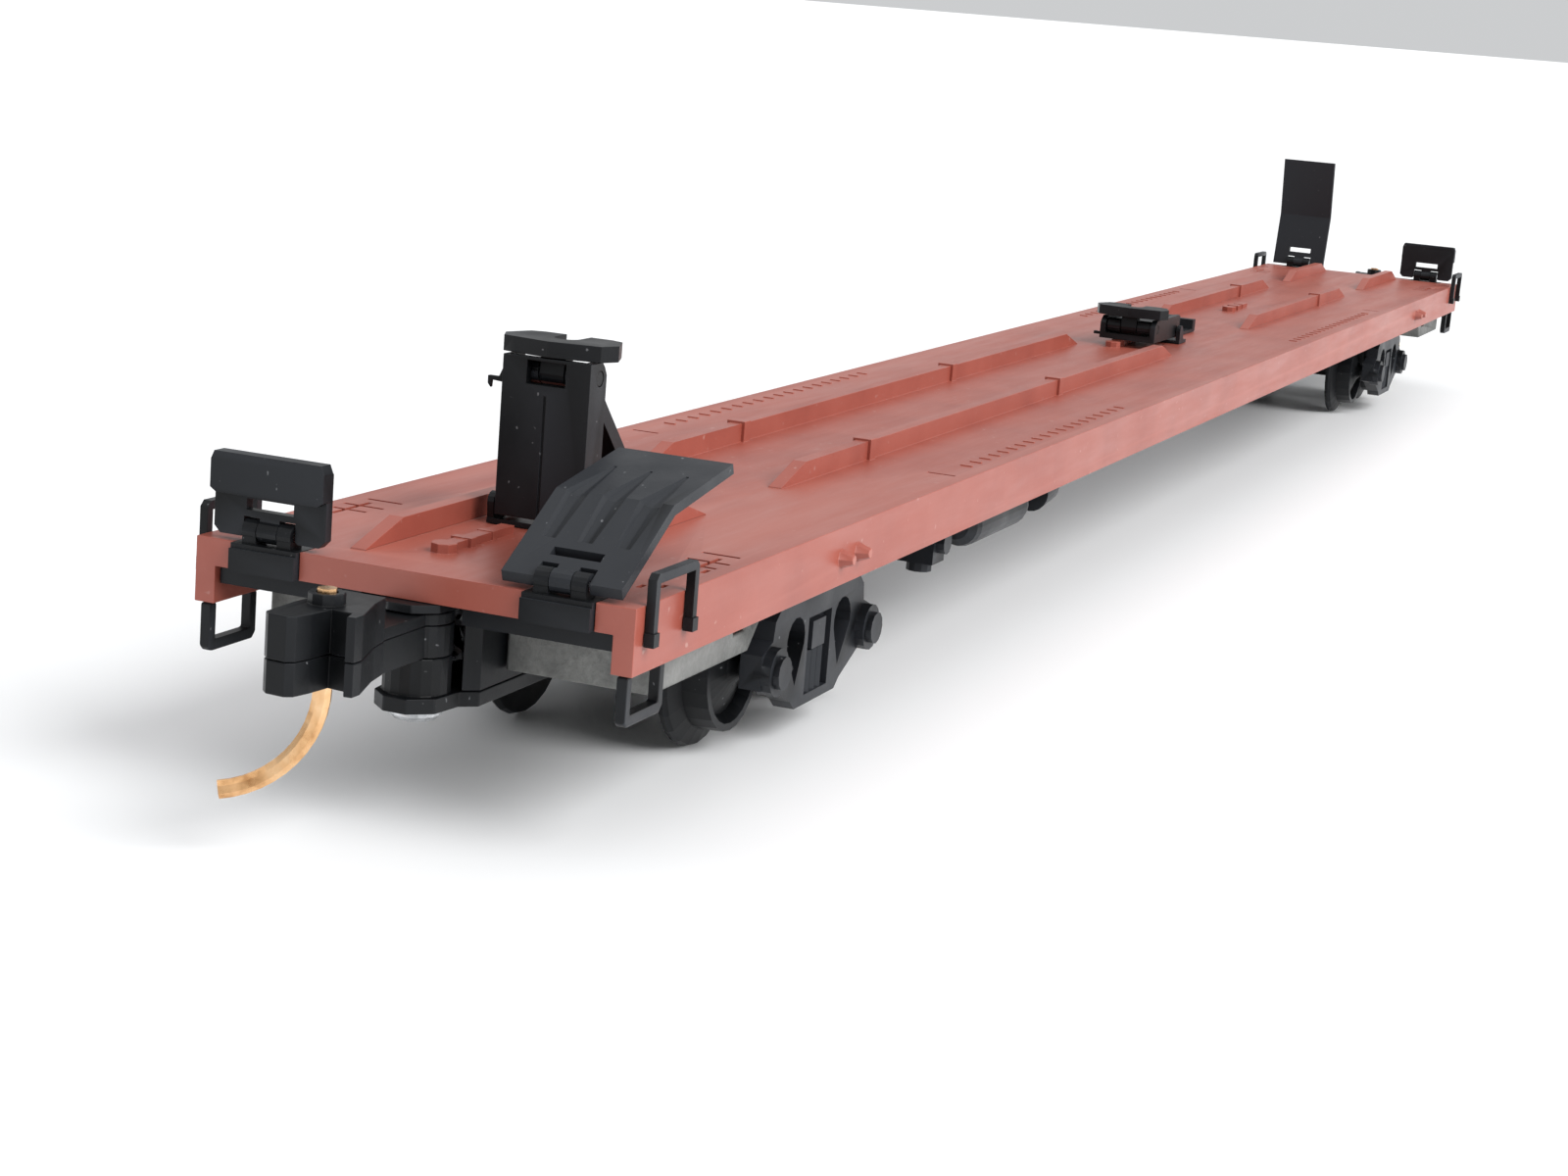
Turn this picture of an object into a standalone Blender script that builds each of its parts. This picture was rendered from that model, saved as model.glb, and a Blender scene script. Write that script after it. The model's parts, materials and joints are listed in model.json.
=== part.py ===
"""Model railway flat car for piggyback trailers, 1:160, built as an assembly of separate pieces.

Metres, +Z up. +X runs along the car, the floor under the wheel flanges is Z = 0.
Run with: blender --background --python part.py
"""

import math

import bmesh
import bpy
from mathutils import Matrix, Vector

MM = 0.001

# Overall sizes
DECK_LENGTH = 170.2 * MM
DECK_WIDTH = 17.1 * MM
DECK_HEIGHT = 9.1 * MM  # deck top above the lowest point of the wheel flanges
TRUCK_CENTRES = DECK_LENGTH - 2 * 21.7 * MM
WHEELBASE = 10.2 * MM

# Deck moulding
DECK_THICKNESS = 1.0 * MM
SILL_DEPTH = 2.35 * MM
SILL_THICKNESS = 0.8 * MM
RAIL_HEIGHT = 0.85 * MM
RAIL_WIDTH = 0.6 * MM
RAIL_RAMP = 2.6 * MM
ENGRAVING_DEPTH = 0.2 * MM
ENGRAVING_WIDTH = 0.2 * MM
NOTCH_WIDTH = 2.7 * MM
NOTCH_DEPTH = 1.1 * MM
HINGE_OFFSET = DECK_WIDTH / 2 - 2.85 * MM  # bridge plate hinges from the middle of the deck
RAIL_OFFSET = HINGE_OFFSET - 2.6 * MM  # rub rails' centre line from the middle of the deck

# Underframe
FRAME_PLATE = 0.6 * MM
CENTRE_SILL_WIDTH = 3.2 * MM
CENTRE_SILL_DEPTH = 2.6 * MM
CROSSBEARER_DEPTH = 1.2 * MM
CROSSBEARER_WIDTH = 0.8 * MM
OUTER_BEARER = TRUCK_CENTRES / 2 - 18.4 * MM
CROSSBEARERS = (-OUTER_BEARER, -OUTER_BEARER / 2, 0.0, OUTER_BEARER / 2, OUTER_BEARER)
BOSS_RADIUS = 1.9 * MM
BOLSTER_TOP = 3.42 * MM  # truck centre plate below the deck top
WEIGHT_BOTTOM = 3.85 * MM

# Wheels and trucks
FLANGE_RADIUS = 3.5 * MM
TREAD_RADIUS = 2.65 * MM
AXLE_RADIUS = 0.7 * MM
JOURNAL_RADIUS = 0.44 * MM
WHEEL_BACK = 3.6 * MM  # inner face of the wheel from the middle of the track
WHEEL_WIDTH = 1.8 * MM
SIDEFRAME_INNER = 6.0 * MM
SIDEFRAME_THICKNESS = 0.9 * MM
BOLSTER_HALF = 1.25 * MM
BOLSTER_THICKNESS = 1.1 * MM
KINGPIN_RADIUS = 0.8 * MM

# Bridge plates
PLATE_WIDTH = 4.5 * MM
PLATE_THICKNESS = 0.4 * MM
PLATE_LENGTH = 2.6 * MM
PLATE_PANEL = 0.32 * MM  # extra thickness of the short plate's outer panel
RAMP_LENGTH = 9.0 * MM
RAMP_BEND = 4.1 * MM  # from the hinge, where the ramp bends
RAMP_RISE = 0.9 * MM  # height of the bend above the straight line
RAMP_TILT = 70.0  # degrees from upright, leaning over the deck
HINGE_PIN_RADIUS = 0.2 * MM
KNUCKLE_RADIUS = 0.42 * MM
KNUCKLE_WIDTH = 0.8 * MM
LUG_WIDTH = 0.55 * MM

# Trailer hitches
NEAR_HITCH_X = 9.8 * MM - DECK_LENGTH / 2
MIDDLE_HITCH_X = 11.7 * MM
SPARE_STRUT_X = 43.3 * MM
POST_WIDTH = 3.6 * MM
POST_WALL = 0.35 * MM
POST_FRONT = 0.4 * MM  # ahead of the hinge
POST_BACK = 1.0 * MM
POST_TOP = 5.6 * MM  # above the post's hinge
POST_BOTTOM = 0.45 * MM
POST_HINGE_HEIGHT = 0.85 * MM  # above the deck
HEAD_PIN_HEIGHT = 5.0 * MM  # above the post's hinge
HEAD_PIN_BACK = 0.45 * MM  # behind the post's hinge
HEAD_THICKNESS = 0.6 * MM
BRACE_REACH = 5.35 * MM
BRACE_FOOT_HEIGHT = 0.45 * MM
BRACE_WIDTH = POST_WIDTH - 2 * POST_WALL - 0.1 * MM
BRACE_THICKNESS = 0.6 * MM
HITCH_PIN_RADIUS = 0.28 * MM
STUB_RADIUS = 0.2 * MM
TRACK_LENGTH = 8.6 * MM
BASE_PLATE = 0.2 * MM

# Couplers
COUPLER_PIVOT_X = 0.9 * MM - DECK_LENGTH / 2
SHANK_WIDTH = 1.6 * MM
HEAD_TOP = 0.3 * MM  # below the deck top
HEAD_SEAM = 1.8 * MM
HEAD_BOTTOM = 2.95 * MM
UPPER_ARM = 0.4 * MM
EYE_RADIUS = 1.2 * MM
SCREW_RADIUS = 0.55 * MM
SCREW_HEAD_RADIUS = 0.95 * MM
BOX_WIDTH = 3.8 * MM
BOX_WALL = 0.5 * MM
BOX_FRONT = -1.5 * MM  # from the coupler pivot
BOX_BACK = 8.4 * MM
BOX_BOTTOM = 4.3 * MM
LID_THICKNESS = 0.55 * MM
TRIP_PIN_RADIUS = 0.33 * MM
PIN_BOSS_TOP = 0.1 * MM
TRIP_PIN_X = -5.9 * MM
TRIP_PIN_Y = 0.2 * MM
TRIP_BEND = 3.6 * MM
SPRING_RADIUS = 0.85 * MM
SPRING_WIRE = 0.13 * MM
SPRING_TURNS = 5

# Grab irons, steps and brake gear
GRAB_FRONT = DECK_LENGTH / 2 - 0.7 * MM
GRAB_LENGTH = 3.5 * MM
GRAB_TOP = 1.1 * MM
GRAB_FOOT = 1.3 * MM
GRAB_BAR = 0.33 * MM
STEP_FRONT = DECK_LENGTH / 2 - 0.1 * MM
STEP_LENGTH = 3.0 * MM
STEP_BOTTOM = 4.15 * MM
STEP_BAR = 0.4 * MM
TANK_RADIUS = 1.1 * MM

# Clearances
GAP = 0.03 * MM  # between pieces that are glued, clipped or screwed together
RUNNING = 0.03 * MM  # radial play of pins in their holes
JOURNAL_PLAY = 0.06 * MM
TRUCK_GAP = 0.04 * MM

ROUND_STEPS = 24
SMALL_SIDES = 16

PARTS = None
TOOLS = None


# ---------------------------------------------------------------- scene set-up


def clear_scene():
    for obj in list(bpy.data.objects):
        bpy.data.objects.remove(obj, do_unlink=True)


def new_collection(name):
    collection = bpy.data.collections.new(name)
    bpy.context.scene.collection.children.link(collection)
    return collection


def make_material(name, colour, roughness, metallic=0.0):
    material = bpy.data.materials.new(name)
    material.use_nodes = True
    shader = material.node_tree.nodes["Principled BSDF"]
    shader.inputs["Base Color"].default_value = (*colour, 1.0)
    shader.inputs["Roughness"].default_value = roughness
    shader.inputs["Metallic"].default_value = metallic
    return material


def empty(name, parent=None, location=(0, 0, 0), rotation=(0, 0, 0)):
    obj = bpy.data.objects.new(name, None)
    PARTS.objects.link(obj)
    obj.empty_display_size = 2 * MM
    obj.parent = parent
    obj.location = location
    obj.rotation_euler = rotation
    return obj


# ---------------------------------------------------------------- basic shapes


def place(name, mesh, parent, location=(0, 0, 0), rotation=(0, 0, 0)):
    obj = bpy.data.objects.new(name, mesh)
    PARTS.objects.link(obj)
    obj.parent = parent
    obj.location = location
    obj.rotation_euler = rotation
    return obj


def mesh_from(bm, name):
    mesh = bpy.data.meshes.new(name)
    bm.to_mesh(mesh)
    bm.free()
    return mesh


def block(name, parent, low, high):
    """A box between two corners, with its origin at its centre."""
    low, high = Vector(low), Vector(high)
    bm = bmesh.new()
    bmesh.ops.create_cube(bm, size=1.0)
    bmesh.ops.scale(bm, vec=high - low, verts=bm.verts)
    return place(name, mesh_from(bm, name), parent, (low + high) / 2)


def blocks(name, parent, corners):
    """Several separate boxes in one mesh."""
    bm = bmesh.new()
    for low, high in corners:
        low, high = Vector(low), Vector(high)
        made = bmesh.ops.create_cube(bm, size=1.0)["verts"]
        bmesh.ops.scale(bm, vec=high - low, verts=made)
        bmesh.ops.translate(bm, vec=(low + high) / 2, verts=made)
    return place(name, mesh_from(bm, name), parent)


AXIS_TURN = {
    "X": (math.pi / 2, 0, math.pi / 2),
    "Y": (math.pi / 2, 0, 0),
    "Z": (0, 0, 0),
}


def rod(name, parent, centre, radius, length, axis="Z", sides=SMALL_SIDES, top_radius=None):
    """A cylinder or cone about a point. On the Y axis the top end points to -Y."""
    bm = bmesh.new()
    bmesh.ops.create_cone(
        bm,
        cap_ends=True,
        segments=sides,
        radius1=radius,
        radius2=radius if top_radius is None else top_radius,
        depth=length,
    )
    return place(name, mesh_from(bm, name), parent, centre, AXIS_TURN[axis])


def slab(name, parent, outline, low, high, axis="Z"):
    """A flat outline drawn across an axis and filled from low to high along it."""
    curve = bpy.data.curves.new(name, "CURVE")
    curve.dimensions = "2D"
    curve.fill_mode = "BOTH"
    curve.extrude = (high - low) / 2
    spline = curve.splines.new("POLY")
    spline.points.add(len(outline) - 1)
    for point, (u, v) in zip(spline.points, outline):
        point.co = (u, v, 0, 1)
    spline.use_cyclic_u = True
    middle = (low + high) / 2
    location = {"X": (middle, 0, 0), "Y": (0, middle, 0), "Z": (0, 0, middle)}[axis]
    return meshed(place(name, curve, parent, location, AXIS_TURN[axis]))


def meshed(curve_object):
    """Turns a curve object into a mesh object in the same place."""
    bpy.context.view_layer.update()
    graph = bpy.context.evaluated_depsgraph_get()
    mesh = bpy.data.meshes.new_from_object(curve_object.evaluated_get(graph))
    bm = bmesh.new()
    bm.from_mesh(mesh)
    bmesh.ops.remove_doubles(bm, verts=bm.verts, dist=0.0001 * MM)
    bmesh.ops.recalc_face_normals(bm, faces=bm.faces)
    bm.to_mesh(mesh)
    bm.free()
    name = curve_object.name
    parent = curve_object.parent
    matrix = curve_object.matrix_world.copy()
    bpy.data.objects.remove(curve_object)
    obj = place(name, mesh, parent)
    obj.matrix_world = matrix
    return obj


def tube(name, parent, points, radius, sides_step=2):
    """A round wire along points, closed at both ends."""
    curve = bpy.data.curves.new(name, "CURVE")
    curve.dimensions = "3D"
    curve.bevel_depth = radius
    curve.bevel_resolution = sides_step
    curve.use_fill_caps = True
    spline = curve.splines.new("POLY")
    spline.points.add(len(points) - 1)
    for point, co in zip(spline.points, points):
        point.co = (*co, 1)
    return meshed(place(name, curve, parent))


def turned(name, parent, profile, centre=(0, 0, 0), axis="Z", steps=ROUND_STEPS):
    """A profile of (radius, height) points, from the top down, spun round its own axis."""
    mesh = bpy.data.meshes.new(name)
    points = [(radius, 0, height) for radius, height in profile]
    edges = [(i, i + 1) for i in range(len(points) - 1)]
    mesh.from_pydata(points, edges, [])
    obj = place(name, mesh, parent, centre, AXIS_TURN[axis])
    screw = obj.modifiers.new("spin", "SCREW")
    screw.axis = "Z"
    screw.angle = 2 * math.pi
    screw.steps = steps
    screw.render_steps = steps
    screw.use_merge_vertices = True
    screw.merge_threshold = 0.0001 * MM
    screw.use_smooth_shade = True
    return obj


def as_tool(obj):
    PARTS.objects.unlink(obj)
    TOOLS.objects.link(obj)
    obj.hide_render = True
    obj.display_type = "WIRE"


def add(base, *others):
    for other in others:
        modifier = base.modifiers.new("add " + other.name, "BOOLEAN")
        modifier.operation = "UNION"
        modifier.object = other
        as_tool(other)
    return base


def cut(base, *others):
    for other in others:
        modifier = base.modifiers.new("cut " + other.name, "BOOLEAN")
        modifier.operation = "DIFFERENCE"
        modifier.object = other
        as_tool(other)
    return base


def painted(obj, material, smooth=False):
    obj.data.materials.clear()
    obj.data.materials.append(material)
    if smooth:
        obj.data.shade_smooth()
        obj.data.set_sharp_from_angle(angle=math.radians(40))
    return obj


def arc(centre, radius, start, end, count):
    """Points on an arc in a plane, angles in degrees."""
    points = []
    for i in range(count + 1):
        angle = math.radians(start + (end - start) * i / count)
        points.append((centre[0] + radius * math.cos(angle), centre[1] + radius * math.sin(angle)))
    return points


# ---------------------------------------------------------------- deck and underframe


def rail_outline(start, end):
    """Side view of one rub rail, sloped down to the deck at both ends."""
    root = -DECK_THICKNESS / 2
    return [
        (start, root),
        (start, 0.05 * MM),
        (start + RAIL_RAMP, RAIL_HEIGHT),
        (end - RAIL_RAMP, RAIL_HEIGHT),
        (end, 0.05 * MM),
        (end, root),
    ]


def rail_stretches():
    """Where the rub rails start and end along the car, from one end to the other."""
    half = DECK_LENGTH / 2
    outer = half - 1.8 * MM
    inner = half - 17.3 * MM
    long_start = half - 25.1 * MM
    return [
        (-outer, -inner),
        (-long_start, MIDDLE_HITCH_X - 7.0 * MM),
        (MIDDLE_HITCH_X + 14.0 * MM, long_start),
        (inner, outer),
    ]


def engravings():
    """Thin grooves in the deck: crossed lines at the corners and a row of dashes along each edge."""
    low = -ENGRAVING_DEPTH
    high = 0.5 * MM
    half = ENGRAVING_WIDTH / 2
    along = []
    across = []

    def line(x0, y0, x1, y1):
        grooves = along if y0 == y1 else across
        grooves.append(((min(x0, x1) - half, min(y0, y1) - half, low), (max(x0, x1) + half, max(y0, y1) + half, high)))

    for end in (-1, 1):
        edge = end * DECK_LENGTH / 2
        for side in (-1, 1):
            y = side * (DECK_WIDTH / 2 - 1.25 * MM)
            inward = -side * MM
            line(edge - end * 7.1 * MM, y, edge - end * 9.7 * MM, y)
            line(edge - end * 8.0 * MM, y - 0.5 * inward, edge - end * 8.0 * MM, y + 0.75 * inward)
            line(edge - end * 9.0 * MM, y - 0.6 * inward, edge - end * 9.0 * MM, y + 0.9 * inward)
            line(edge - end * 10.4 * MM, y - 0.4 * inward, edge - end * 10.4 * MM, y + 0.9 * inward)
            line(edge - end * 7.1 * MM, y - 0.5 * inward, edge - end * 7.5 * MM, y - 0.5 * inward)
            line(edge - end * 3.3 * MM, y + 0.2 * inward, edge - end * 3.6 * MM, y + 0.2 * inward)
            line(edge - end * 3.8 * MM, y - 0.4 * inward, edge - end * 4.1 * MM, y - 0.4 * inward)
            line(edge - end * 34.4 * MM, y - 0.5 * inward, edge - end * 34.4 * MM, y + 0.6 * inward)
    return along, across


def pull_strut(name, parent, x):
    """Moulded pull-up strut and its lump, beside the middle line in front of a hitch."""
    root = -DECK_THICKNESS / 2
    strut = block(name, parent, (x - 6.0 * MM, 0.45 * MM, root), (x - 1.3 * MM, 1.0 * MM, 0.3 * MM))
    collar = block(name + "_collar", parent, (x - 4.9 * MM, 0.3 * MM, root), (x - 4.5 * MM, 1.15 * MM, 0.35 * MM))
    second = block(name + "_second", parent, (x - 3.1 * MM, 0.38 * MM, root), (x - 2.8 * MM, 1.07 * MM, 0.33 * MM))
    lump = rod(name + "_lump", parent, (x - 6.1 * MM, 0.72 * MM, -0.07 * MM), 0.5 * MM, 0.84 * MM, sides=8)
    return strut, collar, second, lump


def build_deck(car, brown):
    half = DECK_LENGTH / 2
    side = DECK_WIDTH / 2
    deck = block("deck", car, (-half, -side, -SILL_DEPTH), (half, side, 0))
    inner = side - SILL_THICKNESS
    cut(deck, block("deck_cavity", car, (-half - MM, -inner, -SILL_DEPTH - MM), (half + MM, inner, -DECK_THICKNESS)))
    notches = []
    for end in (-1, 1):
        for y in (-HINGE_OFFSET, HINGE_OFFSET):
            x0, x1 = sorted((end * (half - NOTCH_DEPTH), end * (half + MM)))
            notches.append(((x0, y - NOTCH_WIDTH / 2, -2 * MM), (x1, y + NOTCH_WIDTH / 2, MM)))
    cut(deck, blocks("deck_notches", car, notches))
    for i, (start, end) in enumerate(rail_stretches()):
        for y in (-RAIL_OFFSET, RAIL_OFFSET):
            name = "rub_rail_%d_%s" % (i, "left" if y > 0 else "right")
            add(deck, slab(name, car, rail_outline(start, end), y - RAIL_WIDTH / 2, y + RAIL_WIDTH / 2, "Y"))
    lugs = []
    outer_joint = half - 35.6 * MM
    for x in (-outer_joint, -20.0 * MM, outer_joint):
        for y in (-RAIL_OFFSET, RAIL_OFFSET):
            wide = RAIL_WIDTH / 2 + 0.15 * MM
            lugs.append(((x - 0.35 * MM, y - wide, -0.4 * MM), (x + 0.35 * MM, y + wide, RAIL_HEIGHT + 0.1 * MM)))
    add(deck, blocks("rail_joints", car, lugs))
    for name, x in (("near_strut", NEAR_HITCH_X), ("middle_strut", MIDDLE_HITCH_X), ("spare_strut", SPARE_STRUT_X)):
        add(deck, *pull_strut(name, car, x))
    pegs = (half - 19.1 * MM, half - 20.9 * MM)
    for i, x in enumerate((-pegs[0], -pegs[1], pegs[1], pegs[0])):
        for y in (-side, side):
            outward = "Y"
            peg = rod("sill_peg_%d_%s" % (i, "left" if y > 0 else "right"), car, (x, y, -1.25 * MM), 0.62 * MM,
                      1.1 * MM, outward, 8, 0.2 * MM)
            if y > 0:
                peg.rotation_euler = (-math.pi / 2, 0, 0)
            add(deck, peg)
    along, across = engravings()
    cut(deck, blocks("engravings_along", car, along), blocks("engravings_across", car, across))
    return painted(deck, brown)


def build_underframe(car, black):
    half = DECK_LENGTH / 2 - 0.25 * MM
    inner = DECK_WIDTH / 2 - SILL_THICKNESS - 2 * GAP
    top = -DECK_THICKNESS - GAP
    bottom = top - FRAME_PLATE
    overlap = FRAME_PLATE / 2
    frame = block("underframe", car, (-half, -inner, bottom), (half, inner, top))
    sill_end = TRUCK_CENTRES / 2 - FLANGE_RADIUS - WHEELBASE / 2 - 1.6 * MM
    centre = block("centre_sill", car, (-sill_end, -CENTRE_SILL_WIDTH / 2, bottom - CENTRE_SILL_DEPTH),
                   (sill_end, CENTRE_SILL_WIDTH / 2, bottom + overlap))
    add(frame, centre)
    for i, x in enumerate(CROSSBEARERS):
        bearer = block("crossbearer_%d" % i, car, (x - CROSSBEARER_WIDTH / 2, -inner + 0.3 * MM, bottom - CROSSBEARER_DEPTH),
                       (x + CROSSBEARER_WIDTH / 2, inner - 0.3 * MM, bottom + overlap))
        add(frame, bearer)
    cuts = []
    for end in (-1, 1):
        x = end * TRUCK_CENTRES / 2
        boss_bottom = -BOLSTER_TOP + TRUCK_GAP
        length = bottom + overlap - boss_bottom
        add(frame, rod("boss_%d" % end, car, (x, 0, boss_bottom + length / 2), BOSS_RADIUS, length, sides=24))
        hole = KINGPIN_RADIUS + GAP
        cut(frame, rod("kingpin_hole_%d" % end, car, (x, 0, -3.0 * MM), hole, 2.6 * MM, sides=SMALL_SIDES))
        pivot = -end * COUPLER_PIVOT_X
        x0, x1 = sorted((pivot - end * (BOX_BACK + 2 * GAP), end * (half + MM)))
        cuts.append(((x0, -BOX_WIDTH / 2 - 2 * GAP, bottom - MM), (x1, BOX_WIDTH / 2 + 2 * GAP, top + MM)))
    cut(frame, blocks("coupler_cutouts", car, cuts))
    return painted(frame, black)


def build_weight(name, end, grey):
    """Cast metal ballast round the coupler box, with a sloped inner end that clears the wheels."""
    top = -DECK_THICKNESS - 2 * GAP - FRAME_PLATE
    outer = -DECK_LENGTH / 2 + 3.6 * MM
    inner = -TRUCK_CENTRES / 2 - WHEELBASE / 2 - 3.1 * MM
    outline = [
        (outer, -WEIGHT_BOTTOM),
        (inner - 1.3 * MM, -WEIGHT_BOTTOM),
        (inner, top - 0.9 * MM),
        (inner, top),
        (outer, top),
    ]
    side = DECK_WIDTH / 2 - SILL_THICKNESS - 2 * GAP
    weight = slab(name, end, outline, -side, side, "Y")
    pocket = BOX_WIDTH / 2 + 0.1 * MM
    back = COUPLER_PIVOT_X + BOX_BACK + 0.1 * MM
    cut(weight, block(name + "_pocket", end, (outer - MM, -pocket, -9 * MM), (back, pocket, 0)))
    window = inner - 2.3 * MM
    cut(weight, blocks(name + "_slots", end, [
        ((window - 0.5 * MM, sign * side - 0.5 * MM, -2.95 * MM), (window + 0.5 * MM, sign * side + 0.5 * MM, -2.45 * MM))
        for sign in (-1, 1)]))
    return painted(weight, grey)


# ---------------------------------------------------------------- bridge plates


def hinge_axis():
    """Place of a bridge plate's hinge line, along the car and above the deck."""
    return -DECK_LENGTH / 2 + 0.35 * MM, KNUCKLE_RADIUS + GAP


def build_hinge_block(name, end, y, black):
    x_axis, z_axis = hinge_axis()
    front = -DECK_LENGTH / 2 - 0.2 * MM
    back = -DECK_LENGTH / 2 + NOTCH_DEPTH - GAP
    half = NOTCH_WIDTH / 2 - GAP
    body = block(name, end, (front, y - half, -DECK_THICKNESS), (back, y + half, 0))
    lip = block(name + "_lip", end, (front - 0.12 * MM, y - half, -DECK_THICKNESS),
                (front + 0.2 * MM, y + half, -0.18 * MM))
    add(body, lip)
    for side in (-1, 1):
        inner = KNUCKLE_WIDTH / 2 + GAP
        centre = y + side * (inner + LUG_WIDTH / 2)
        tag = "%s_lug_%s" % (name, "left" if side > 0 else "right")
        lug = rod(tag, end, (x_axis, centre, z_axis), KNUCKLE_RADIUS, LUG_WIDTH, "Y")
        foot = block(tag + "_foot", end, (x_axis - KNUCKLE_RADIUS * 0.9, centre - LUG_WIDTH / 2, -0.3 * MM),
                     (x_axis + KNUCKLE_RADIUS * 0.9, centre + LUG_WIDTH / 2, z_axis))
        add(body, lug, foot)
    cut(body, rod(name + "_hole", end, (x_axis, y, z_axis), HINGE_PIN_RADIUS + GAP / 2, NOTCH_WIDTH, "Y"))
    return painted(body, black)


def build_hinge_pin(name, end, y, steel):
    x_axis, z_axis = hinge_axis()
    length = KNUCKLE_WIDTH + 2 * LUG_WIDTH + 2 * GAP
    return painted(rod(name, end, (x_axis, y, z_axis), HINGE_PIN_RADIUS, length, "Y"), steel, True)


def plate_face(length):
    """Outline of a plate across its width, with ears beside the hinge lugs."""
    half = PLATE_WIDTH / 2
    ear = KNUCKLE_WIDTH / 2 + LUG_WIDTH + 3 * GAP
    corner = 0.25 * MM
    start = KNUCKLE_RADIUS + 2 * GAP
    arm = KNUCKLE_WIDTH / 2
    return [
        (-half + corner, -0.25 * MM),
        (-ear - 0.1 * MM, -0.25 * MM),
        (-ear, -0.15 * MM),
        (-ear, start),
        (-arm, start),
        (-arm, 0),
        (arm, 0),
        (arm, start),
        (ear, start),
        (ear, -0.15 * MM),
        (ear + 0.1 * MM, -0.25 * MM),
        (half - corner, -0.25 * MM),
        (half, 0),
        (half, length - corner),
        (half - corner, length),
        (-half + corner, length),
        (-half, length - corner),
        (-half, 0),
    ]


def add_knuckle(plate, name, hinge):
    add(plate, rod(name + "_knuckle", hinge, (0, 0, 0), KNUCKLE_RADIUS, KNUCKLE_WIDTH, "Y"))
    bore_length = KNUCKLE_WIDTH + 2 * LUG_WIDTH
    cut(plate, rod(name + "_bore", hinge, (0, 0, 0), HINGE_PIN_RADIUS + RUNNING, bore_length, "Y"))


def plate_window(plate, name, hinge, bottom):
    half = KNUCKLE_WIDTH / 2 + LUG_WIDTH
    cut(plate, block(name + "_window", hinge, (-MM, -half, bottom), (MM, half, bottom + 0.4 * MM)))


def build_short_plate(name, hinge, black):
    plate = slab(name, hinge, plate_face(PLATE_LENGTH), -PLATE_THICKNESS / 2, PLATE_THICKNESS / 2, "X")
    half = PLATE_WIDTH / 2
    step = 0.48 * PLATE_LENGTH
    panel_outline = [
        (-half - 0.03 * MM, step + 0.15 * MM),
        (-half + 0.2 * MM, step),
        (half - 0.2 * MM, step),
        (half + 0.03 * MM, step + 0.15 * MM),
        (half + 0.03 * MM, PLATE_LENGTH - 0.2 * MM),
        (half - 0.1 * MM, PLATE_LENGTH + 0.1 * MM),
        (-half + 0.1 * MM, PLATE_LENGTH + 0.1 * MM),
        (-half - 0.03 * MM, PLATE_LENGTH - 0.2 * MM),
    ]
    panel = slab(name + "_panel", hinge, panel_outline, -PLATE_THICKNESS / 2 - PLATE_PANEL, PLATE_THICKNESS / 2 - 0.1 * MM, "X")
    add(plate, panel)
    plate_window(plate, name, hinge, 0.72 * MM)
    add_knuckle(plate, name, hinge)
    return painted(plate, black)


def build_ramp(name, hinge, black):
    """Long plate, bent along its length, with tapered flutes on its outer face."""
    half = PLATE_WIDTH / 2
    thick = PLATE_THICKNESS / 2
    outline = [
        (thick, -0.25 * MM),
        (thick - RAMP_RISE, RAMP_BEND),
        (thick, RAMP_LENGTH),
        (-thick, RAMP_LENGTH),
        (-thick - RAMP_RISE, RAMP_BEND),
        (-thick, -0.25 * MM),
    ]
    ramp = slab(name, hinge, outline, -half, half, "Y")
    start = KNUCKLE_RADIUS + 2 * GAP
    arm = KNUCKLE_WIDTH / 2
    ear = arm + LUG_WIDTH + 3 * GAP
    ears = [((-MM, -ear, -MM), (MM, -arm, start)), ((-MM, arm, -MM), (MM, ear, start))]
    cut(ramp, blocks(name + "_ears", hinge, ears))
    cut(ramp, block(name + "_heel", hinge, (-MM, -arm - 0.1 * MM, -MM), (MM, arm + 0.1 * MM, 0)))
    plate_window(ramp, name, hinge, 0.85 * MM)
    lower = math.atan2(RAMP_RISE, RAMP_BEND)
    upper = math.atan2(RAMP_RISE, RAMP_LENGTH - RAMP_BEND)
    first = RAMP_BEND - 1.7 * MM
    second = 2.9 * MM
    for i, y in enumerate((-1.4 * MM, 0.0, 1.4 * MM)):
        middle = RAMP_BEND - first / 2
        x = -thick - RAMP_RISE * middle / RAMP_BEND
        tag = "%s_flute_low_%d" % (name, i)
        low = rod(tag, hinge, (x, y, middle), 0.3 * MM, first * 1.06, "Z", 8, 0.44 * MM)
        low.data.transform(Matrix.Diagonal((0.55, 1, 1, 1)))
        low.rotation_euler = (0, -lower, 0)
        middle = RAMP_BEND + second / 2
        x = -thick - RAMP_RISE * (RAMP_LENGTH - middle) / (RAMP_LENGTH - RAMP_BEND)
        tag = "%s_flute_high_%d" % (name, i)
        high = rod(tag, hinge, (x, y, middle), 0.44 * MM, second * 1.02, "Z", 8, 0.06 * MM)
        high.data.transform(Matrix.Diagonal((0.55, 1, 1, 1)))
        high.rotation_euler = (0, upper, 0)
        cut(ramp, low, high)
    add_knuckle(ramp, name, hinge)
    return painted(ramp, black)


# ---------------------------------------------------------------- trailer hitches


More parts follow.
